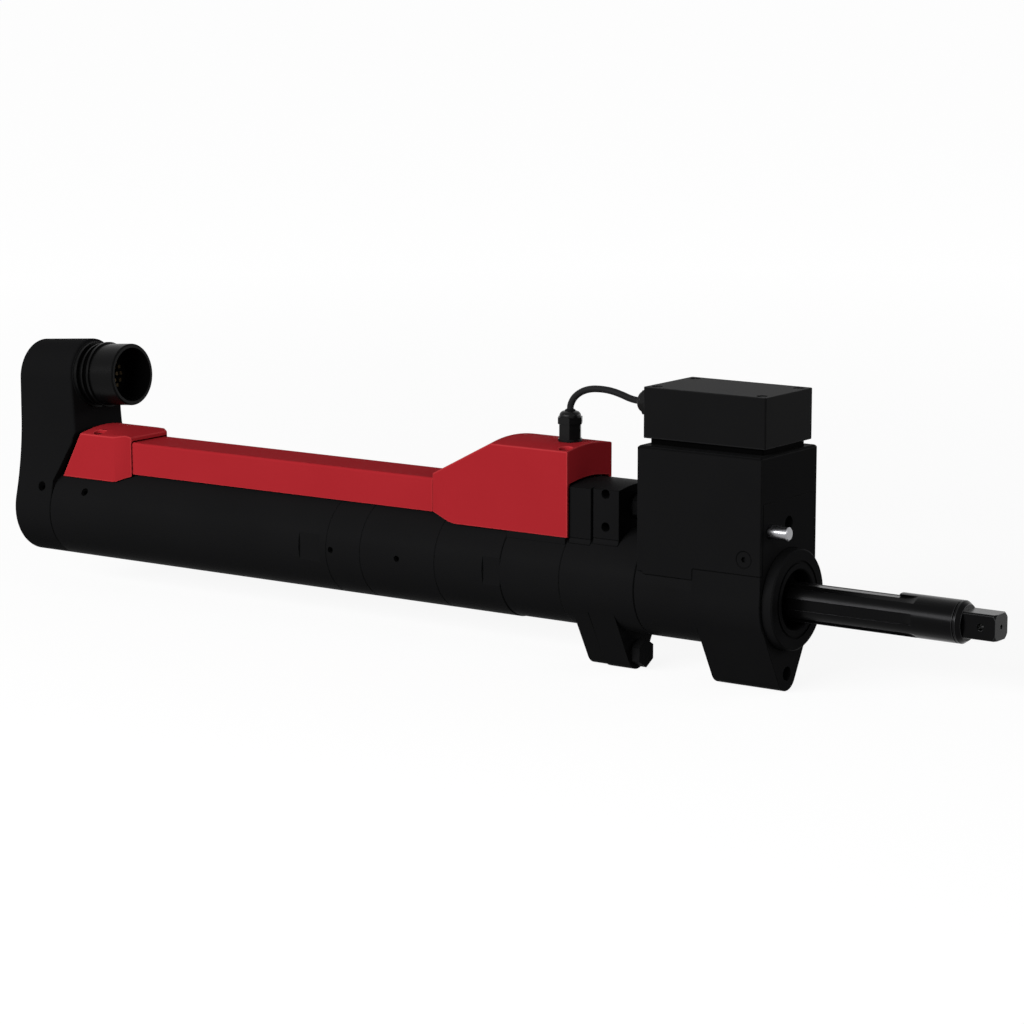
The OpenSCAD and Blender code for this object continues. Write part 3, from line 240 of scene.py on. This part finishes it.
# spindle rounds: paler steel than the shaft, a painted highlight along the crests
steel_painted_highlight = finish("steel_painted_highlight", grey(0.018), grey(0.030), (0.25, 0.38), metallic=1.0)
screw_black = finish("screw_black", grey(0.006), grey(0.011), (0.30, 0.42), 0.25, metallic=0.5)
connector_black = finish("connector_black", grey(0.0020), grey(0.0032), (0.24, 0.34), 0.045)
gland_black = finish("gland_black", grey(0.003), grey(0.005), (0.26, 0.36), 0.10, grain=700)
rubber_black = finish("rubber_black", grey(0.003), grey(0.006), (0.60, 0.75), 0.04)
# near black: painted shade for the gap under the box and the screw holes
gap_painted_shade = finish("gap_painted_shade", grey(0.0008), grey(0.0014), (0.6, 0.7), 0.005)
cable_grey = finish("cable_grey", grey(0.012), grey(0.018), (0.38, 0.48), 0.02, grain=1200)
insert_black = finish("insert_black", grey(0.001), grey(0.002), (0.6, 0.7), 0.01)
red_paint = finish(
    "red_paint", (0.33, 0.016, 0.021), (0.37, 0.020, 0.026), (0.50, 0.60), 0.001, grain=650, relief=0.10)
# red rounds: lighter red than the covers, a painted highlight along their edges
red_painted_highlight = finish(
    "red_painted_highlight", (0.40, 0.028, 0.033), (0.46, 0.036, 0.042), (0.42, 0.52), 0.006, grain=650, relief=0.06)
bright_steel = finish(
    "bright_steel", grey(0.24), grey(0.31), (0.22, 0.34), metallic=1.0, stretch=(8, 1, 1))
gear_steel = finish(
    "gear_steel", grey(0.30), grey(0.40), (0.26, 0.40), metallic=1.0, stretch=(5, 1, 1))
bare_aluminium = finish(
    "bare_aluminium", grey(0.46), grey(0.55), (0.30, 0.44), metallic=1.0, grain=700, relief=0.03,
    stretch=(5, 1, 1))
# brass darkened nearly to black: painted shade on the contacts deep in the connector's bore
contact_brass = finish(
    "contact_brass", (0.030, 0.022, 0.010), (0.045, 0.032, 0.016), (0.40, 0.52), 0.3, metallic=0.8)
copper_wire = finish(
    "copper_wire", (0.36, 0.13, 0.05), (0.46, 0.19, 0.08), (0.34, 0.48), metallic=0.8, grain=400,
    relief=0.1, stretch=(1, 8, 8))
board_green = finish("board_green", (0.012, 0.085, 0.026), (0.018, 0.11, 0.036), (0.30, 0.40))
print("finishes:", len(bpy.data.materials))

# %% [markdown]
# Each CAD node carries the name of a material slot from the record. The pieces that stay as
# CAD solids take their finish by that name, so no node is left in a plain colour. A few take
# another one: four match the housings beside them, and four are painted near black as painted
# shade, so that they read as dark gaps and holes.

# %% Finishes on the CAD nodes
FINISH_OF_SLOT = {
    "anodised_black": black_satin, "painted_black": black_paint, "painted_red": red_paint,
    "steel_black": black_steel, "screw_black": screw_black, "bright_steel": bright_steel,
    "gear_steel": gear_steel, "bare_aluminium": bare_aluminium, "connector_black": connector_black,
    "insert_black": insert_black, "contact_brass": contact_brass, "copper": copper_wire,
    "gland_black": gland_black, "board_green": board_green, "rubber_black": rubber_black,
    "cable_grey": cable_grey,
}
slot_of_node = {part["node"]: part["material_slot"] for part in frame["record"]["subparts"]}
for node, cad in frame["nodes"].items():
    cad.data.materials.clear()
    cad.data.materials.append(FINISH_OF_SLOT[slot_of_node[node]])
for node in ("gear_case_1", "gear_case_2", "pilot_ring", "sensor_cover_screws"):
    frame["nodes"][node].data.materials[0] = black_satin
# painted shade: the base under the box and three sets of screws go near black, to read as dark gaps and
# holes
for node in ("box_base", "head_screws", "tube_screws", "case_set_screws"):
    frame["nodes"][node].data.materials[0] = gap_painted_shade
print("nodes with a finish:", len(slot_of_node))

# %% [markdown]
# ## The sensor cable
# A thin cable rises out of the gland on the red cover, bends over in a low arch and enters the
# electronics box. The photograph shows it from end to end. It is drawn as a smooth curve
# through the same points as the CAD tube, then made round. The points are shares of the way
# from the foot of the first gland to the mouth of the second.

# %% Sensor cable
CABLE_START_MM = Vector((-192, 0, 99.4))
CABLE_REACH_MM = Vector((67, 0, 35.6))
CABLE_SHARES = [
    (0, 0.52), (0, 0.66), (0.01, 0.79), (0.06, 0.945), (0.155, 1.075), (0.275, 1.15),
    (0.42, 1.17), (0.56, 1.15), (0.69, 1.095), (0.81, 1.03), (0.93, 1), (1, 1),
]
CABLE_R = 2.6 * MM
CABLE_STEPS, CABLE_ROUNDNESS = 4, 6
CABLE_SMOOTH = math.radians(50)
cable_points = [
    (CABLE_START_MM + Vector((along * CABLE_REACH_MM.x, 0, up * CABLE_REACH_MM.z))) * MM
    for along, up in CABLE_SHARES
]


def smooth_route(points, steps):
    """Points on a smooth curve that passes through all the given points."""
    route = []
    for i in range(len(points) - 1):
        before, a = points[max(i - 1, 0)], points[i]
        b, after = points[i + 1], points[min(i + 2, len(points) - 1)]
        for k in range(steps):
            t = k / steps
            route.append(
                0.5 * (2 * a + (b - before) * t + (2 * before - 5 * a + 4 * b - after) * t ** 2
                       + (3 * a - before - 3 * b + after) * t ** 3))
    return route + [points[-1]]


cable_line = smooth_route(cable_points, CABLE_STEPS)
cable_curve = bpy.data.curves.new("sensor_cable_line", "CURVE")
cable_curve.dimensions = "3D"
cable_curve.bevel_depth = CABLE_R
cable_curve.bevel_resolution = CABLE_ROUNDNESS
cable_curve.use_fill_caps = True
spline = cable_curve.splines.new("POLY")
spline.points.add(len(cable_line) - 1)
for point, place in zip(spline.points, cable_line):
    point.co = (*place, 1)
cable = bpy.data.objects.new("sensor_cable_jacket", cable_curve)
bpy.context.scene.collection.objects.link(cable)
work_on(cable)
bpy.ops.object.convert(target="MESH")
bpy.ops.object.shade_smooth_by_angle(angle=CABLE_SMOOTH)
cable.data.materials.clear()
cable.data.materials.append(cable_grey)
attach(cable, "housing")
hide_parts("sensor_cable")


# %% [markdown]
# ## Edges that catch the light
# On a black tool the eye reads the shape from its edges. A CAD edge is perfectly sharp and
# shows nothing, so the pieces whose edges show most get a copy with a small round on them. The
# round takes a finish of its own: nearly black on the housings, so that their joints read as
# dark lines, and paler on the box, the covers and the spindle, as a painted highlight along
# those edges. The copy then stands for the CAD node. On the spindle only the outer edges are rounded.

# %% Dressed copies of the housings
WELD = 0.002 * MM
FLAT = math.radians(0.7)
SHARP = math.radians(30)
EDGE_STEPS = 2


def copy_of(node, weld):
    """A merged copy of a CAD node's mesh, with its flat faces made whole."""
    piece = bpy.data.objects.new(node + "_dressed", frame["nodes"][node].data.copy())
    bpy.context.scene.collection.objects.link(piece)
    work_on(piece)
    bpy.ops.mesh.customdata_custom_splitnormals_clear()
    bpy.ops.object.mode_set(mode="EDIT")
    bpy.ops.mesh.select_all(action="SELECT")
    bpy.ops.mesh.remove_doubles(threshold=weld)
    bpy.ops.mesh.dissolve_limited(angle_limit=FLAT)
    bpy.ops.object.mode_set(mode="OBJECT")
    return piece


def round_edges(piece, width_mm):
    apply_modifier(piece, "BEVEL", width=width_mm * MM, segments=EDGE_STEPS, limit_method="ANGLE",
                   angle_limit=SHARP, use_clamp_overlap=False, material=1, miter_outer="MITER_ARC")


def round_outer_edges(piece, width_mm):
    """Rounds the outer edges alone. The roots of the splines stay sharp, as they slide in the sleeve."""
    sides_of = {}
    for face in piece.data.polygons:
        side = (face.normal.copy(), face.center.copy())
        for key in face.edge_keys:
            sides_of.setdefault(key, []).append(side)

    def outer(edge):
        sides = sides_of.get(edge.key, [])
        if len(sides) != 2:
            return False
        (normal, centre), (next_normal, next_centre) = sides
        bent = normal.angle(next_normal, 0) > SHARP
        return bent and (next_centre - centre).dot(normal) < 0

    edit_edges(piece, outer)
    bpy.ops.mesh.bevel(offset=width_mm * MM, segments=EDGE_STEPS, affect="EDGES", clamp_overlap=False,
                       material=1, miter_outer="ARC")
    bpy.ops.object.mode_set(mode="OBJECT")


def paint(piece, *materials):
    """Finishes come before the rounding, which gives its new faces the second one."""
    piece.data.materials.clear()
    for material in materials:
        piece.data.materials.append(material)


def stand_for(piece, node):
    """Lets the piece take the CAD node's place."""
    work_on(piece)
    bpy.ops.object.shade_smooth_by_angle(angle=SHARP)
    apply_modifier(piece, "WEIGHTED_NORMAL", keep_sharp=True)
    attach(piece, frame["nodes"][node]["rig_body"])
    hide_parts(node)


# %% [markdown]
# One edge is softer than the rest: where the tail head turns from its side to the face that
# carries the connector. Those edges are picked by their place: on the tilted front plane,
# outside the connector's flange, and high enough for the soft edge to end behind the red cover.
# They are rounded before the small edges are.

# %% The soft edge of the tail head
CONNECTOR_TILT = math.radians(4.3)
CONNECTOR_FOOT = Vector((-671.064, 0, 112.9)) * MM
CONNECTOR_AXIS = Vector((math.cos(CONNECTOR_TILT), 0, math.sin(CONNECTOR_TILT)))
FLANGE_R = 27.4 * MM
SOFT_FROM = 62 * MM
SOFT_ROUND, SOFT_STEPS = 2.4 * MM, 5
ON_PLANE = 0.02 * MM
HEAD_WELD = 0.12 * MM


def soften_front(head):
    def on_front_rim(edge):
        ends = [head.data.vertices[i].co - CONNECTOR_FOOT for i in edge.vertices]
        flat = all(abs(end.dot(CONNECTOR_AXIS)) < ON_PLANE for end in ends)
        outside = all(end.cross(CONNECTOR_AXIS).length > FLANGE_R for end in ends)
        high = all(head.data.vertices[i].co.z > SOFT_FROM for i in edge.vertices)
        return flat and outside and high

    count = edit_edges(head, on_front_rim)
    bpy.ops.mesh.bevel(offset=SOFT_ROUND, segments=SOFT_STEPS, profile=0.5, affect="EDGES",
                       clamp_overlap=False)
    bpy.ops.object.mode_set(mode="OBJECT")
    print("soft front edges:", count)


# node, width of the round in mm, finish of the faces, finish of the rounds
DRESSED = [
    ("rear_head", 0.8, black_paint, black_edge),
    ("transducer_saddle", 0.4, black_satin, black_edge),
    ("mid_housing", 0.4, black_satin, black_edge),
    ("front_housing", 0.4, black_satin, black_edge),
    ("flange_bolts", 0.3, black_satin, black_edge),
    ("sensor_cover", 0.6, black_satin, black_edge),
    ("electronics_box", 0.6, box_black, box_edge),
    ("front_cover", 0.9, red_paint, red_painted_highlight),
    ("cable_duct", 0.6, red_paint, red_painted_highlight),
    ("rear_cover", 0.9, red_paint, red_painted_highlight),
    ("splined_spindle", 0.22, black_steel, steel_painted_highlight),
    ("connector_shell", 0.3, connector_black, black_edge),
]
for node, width, face_finish, edge_finish in DRESSED:
    dressed = copy_of(node, HEAD_WELD if node == "rear_head" else WELD)
    if node == "rear_head":
        soften_front(dressed)
    paint(dressed, face_finish, edge_finish)
    if node == "splined_spindle":
        round_outer_edges(dressed, width)
    else:
        round_edges(dressed, width)
    stand_for(dressed, node)
    print(node, "faces:", len(dressed.data.polygons))

# %% [markdown]
# ## The return spring
# The spindle slides back against a spring. As a rigid piece the spring would run through the
# floor of the spindle's bore. Here it is a merged copy with a mesh of its own, which stands for the CAD
# node.

# %% The spring's own copy
spring = copy_of("return_spring", WELD)
stand_for(spring, "return_spring")
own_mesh(spring)

# %% [markdown]
# ## Small turned pieces
# Rubber lips close the glands around the cable, a gasket lies behind the connector's flange, and
# fine ridges run round its neck. Each starts as a bare circle and is drawn out ring by ring, as
# on a lathe: extrude, move along, change the size.

# %% Rubber lips, gasket and ridges
TURNED_SMOOTH = math.radians(40)


def turned(name, profile_mm, sides, place, axis, material):
    """A ring with the given (radius, height) profile, standing at place and pointing along axis."""
    deselect_all()
    (radius, height), rest = profile_mm[0], profile_mm[1:]
    bpy.ops.mesh.primitive_circle_add(vertices=sides, radius=radius * MM, location=(0, 0, 0))
    piece = bpy.context.object
    piece.name = name
    bpy.ops.object.mode_set(mode="EDIT")
    bpy.ops.mesh.select_all(action="SELECT")
    bpy.ops.transform.translate(value=(0, 0, height * MM))
    for next_radius, next_height in rest:
        rise = (0, 0, (next_height - height) * MM)
        bpy.ops.mesh.extrude_edges_move(TRANSFORM_OT_translate={"value": rise})
        share = next_radius / radius
        bpy.ops.transform.resize(value=(share, share, 1), center_override=(0, 0, next_height * MM))
        radius, height = next_radius, next_height
    bpy.ops.mesh.select_all(action="SELECT")
    bpy.ops.mesh.remove_doubles(threshold=WELD)
    bpy.ops.mesh.normals_make_consistent(inside=False)
    bpy.ops.object.mode_set(mode="OBJECT")
    piece.location = place
    piece.rotation_mode = "QUATERNION"
    piece.rotation_quaternion = axis.to_track_quat("Z", "Y")
    bpy.ops.object.transform_apply(location=True, rotation=True, scale=True)
    bpy.ops.object.shade_smooth_by_angle(angle=TURNED_SMOOTH)
    piece.data.materials.append(material)
    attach(piece, "housing")
    print(name, "faces:", len(piece.data.polygons))


# profiles as radius and height in mm
LIP = [(2.65, -0.3), (4.1, -0.3), (4.1, 0.5), (3.7, 1.1), (3.0, 1.4), (2.65, 1.2), (2.65, -0.3)]
GASKET = [(24.6, -0.7), (27.2, -0.7), (28.0, -0.2), (28.0, 0.5), (27.4, 0.8), (24.6, 0.8), (24.6, -0.7)]
RIDGE_START, RIDGE_FOOT, RIDGE_TOP, RIDGE_STEP, RIDGES = 9.2, 23.9, 25.0, 1.2, 4
ridge_profile = []
for k in range(RIDGES):
    ridge_profile.append((RIDGE_FOOT, RIDGE_START + k * RIDGE_STEP))
    ridge_profile.append((RIDGE_TOP, RIDGE_START + (k + 0.5) * RIDGE_STEP))
ridge_profile.append((RIDGE_FOOT, RIDGE_START + RIDGES * RIDGE_STEP))
LIP_SIDES, RING_SIDES = 48, 96
COVER_GLAND_TOP = Vector((-192, 0, 122.4)) * MM
BOX_GLAND_MOUTH = Vector((-128.5, 0, 135)) * MM
UP, BACK = Vector((0, 0, 1)), Vector((-1, 0, 0))
turned("cover_gland_lip", LIP, LIP_SIDES, COVER_GLAND_TOP, UP, rubber_black)
turned("box_gland_lip", LIP, LIP_SIDES, BOX_GLAND_MOUTH, BACK, rubber_black)
turned("connector_gasket", GASKET, RING_SIDES, CONNECTOR_FOOT, CONNECTOR_AXIS,
       rubber_black)
turned("connector_ridges", ridge_profile, RING_SIDES, CONNECTOR_FOOT, CONNECTOR_AXIS,
       connector_black)

# %% [markdown]
# ## Studio
# A wide pale floor fills the view. Camera, mirror and glass rays see it glow, a little less near
# the tool, and its own lit surface adds the rest up to white, so that it still darkens where the
# tool shades it. The sky is white for those rays too and gives all other light at a lower level.

# %% Floor and sky
FLOOR_SIZE, FLOOR_GAP, FLOOR_GREY = 120, 0.5 * MM, 0.14
GLOW_NEAR, GLOW_FAR = (0.8, 0.90), (3.0, 0.97)
SKY_LIGHT, SKY_SEEN = 0.09, 1.0


def sees_background(nodes, links):
    """One where a camera, mirror or glass ray arrives, and zero for all other light."""
    path = nodes.new("ShaderNodeLightPath")
    either = path.outputs["Is Camera Ray"]
    for name in ("Is Glossy Ray", "Is Transmission Ray"):
        larger = nodes.new("ShaderNodeMath")
        larger.operation = "MAXIMUM"
        links.new(either, larger.inputs[0])
        links.new(path.outputs[name], larger.inputs[1])
        either = larger.outputs[0]
    return either


deselect_all()
bpy.ops.mesh.primitive_plane_add(size=FLOOR_SIZE, location=(0, 0, cad_low.z - FLOOR_GAP))
floor = bpy.context.object
floor.name = "floor"
floor_material = bpy.data.materials.new("pale_floor")
floor_material.use_nodes = True
nodes, links = floor_material.node_tree.nodes, floor_material.node_tree.links
matte = nodes["Principled BSDF"]
matte.inputs["Base Color"].default_value = (FLOOR_GREY, FLOOR_GREY, FLOOR_GREY, 1)
matte.inputs["Roughness"].default_value = 0.9
matte.inputs["Specular IOR Level"].default_value = 0.0
place = nodes.new("ShaderNodeTexCoord")
far = nodes.new("ShaderNodeVectorMath")
far.operation = "LENGTH"
links.new(place.outputs["Object"], far.inputs[0])
level = nodes.new("ShaderNodeMapRange")
level.inputs["From Min"].default_value, level.inputs["To Min"].default_value = GLOW_NEAR
level.inputs["From Max"].default_value, level.inputs["To Max"].default_value = GLOW_FAR
links.new(far.outputs["Value"], level.inputs["Value"])
seen = nodes.new("ShaderNodeMath")
seen.operation = "MULTIPLY"
links.new(sees_background(nodes, links), seen.inputs[0])
links.new(level.outputs["Result"], seen.inputs[1])
glow = nodes.new("ShaderNodeEmission")
links.new(seen.outputs[0], glow.inputs["Strength"])
both = nodes.new("ShaderNodeAddShader")
links.new(matte.outputs[0], both.inputs[0])
links.new(glow.outputs[0], both.inputs[1])
links.new(both.outputs[0], nodes["Material Output"].inputs["Surface"])
floor.data.materials.append(floor_material)

world = bpy.data.worlds.new("studio_sky")
bpy.context.scene.world = world
world.use_nodes = True
nodes, links = world.node_tree.nodes, world.node_tree.links
sky = nodes.new("ShaderNodeMapRange")
sky.inputs["To Min"].default_value = SKY_LIGHT
sky.inputs["To Max"].default_value = SKY_SEEN
links.new(sees_background(nodes, links), sky.inputs["Value"])
links.new(sky.outputs["Result"], nodes["Background"].inputs["Strength"])
nodes["Background"].inputs["Color"].default_value = (1, 1, 1, 1)
print("floor at", round(floor.location.z, 4))

# %% [markdown]
# The lamps give the tones of the photograph: the sides that face the camera are the brightest,
# the tops are darker, and the front ends darker still. The back lamp keeps the far side from
# going black. It stands off to the front, where its mirror image misses the camera. Places and
# sizes are in metres.

# %% Lamps
AIM = Vector((-0.25, 0, 0.03))


def soft_lamp(name, place, watts, size):
    lamp_data = bpy.data.lights.new(name, "AREA")
    lamp_data.energy = watts
    lamp_data.shape = "RECTANGLE"
    lamp_data.size, lamp_data.size_y = size
    lamp = bpy.data.objects.new(name, lamp_data)
    lamp.location = place
    lamp.rotation_mode = "QUATERNION"
    lamp.rotation_quaternion = (AIM - Vector(place)).to_track_quat("-Z", "Y")
    bpy.context.scene.collection.objects.link(lamp)


soft_lamp("side_lamp", (-0.8, -2.45, 0.98), 88, (2.8, 0.7))
soft_lamp("front_lamp", (2.4, -0.5, 0.9), 14, (1.4, 1.4))
soft_lamp("top_lamp", (-0.2, 0.5, 2.6), 1.0, (2.6, 1.0))
soft_lamp("back_lamp", (1.6, 2.2, 0.7), 22, (2.4, 0.7))
print("lamps:", len(bpy.data.lights))

# %% [markdown]
# ## Last settings
# The view transform is set to Standard, so that a colour shows as it was written. The dressing
# changes the size a little: about half a millimetre on each side, at the front housing.

# %% Finish
bpy.context.scene.view_settings.view_transform = "Standard"
bpy.context.view_layer.update()
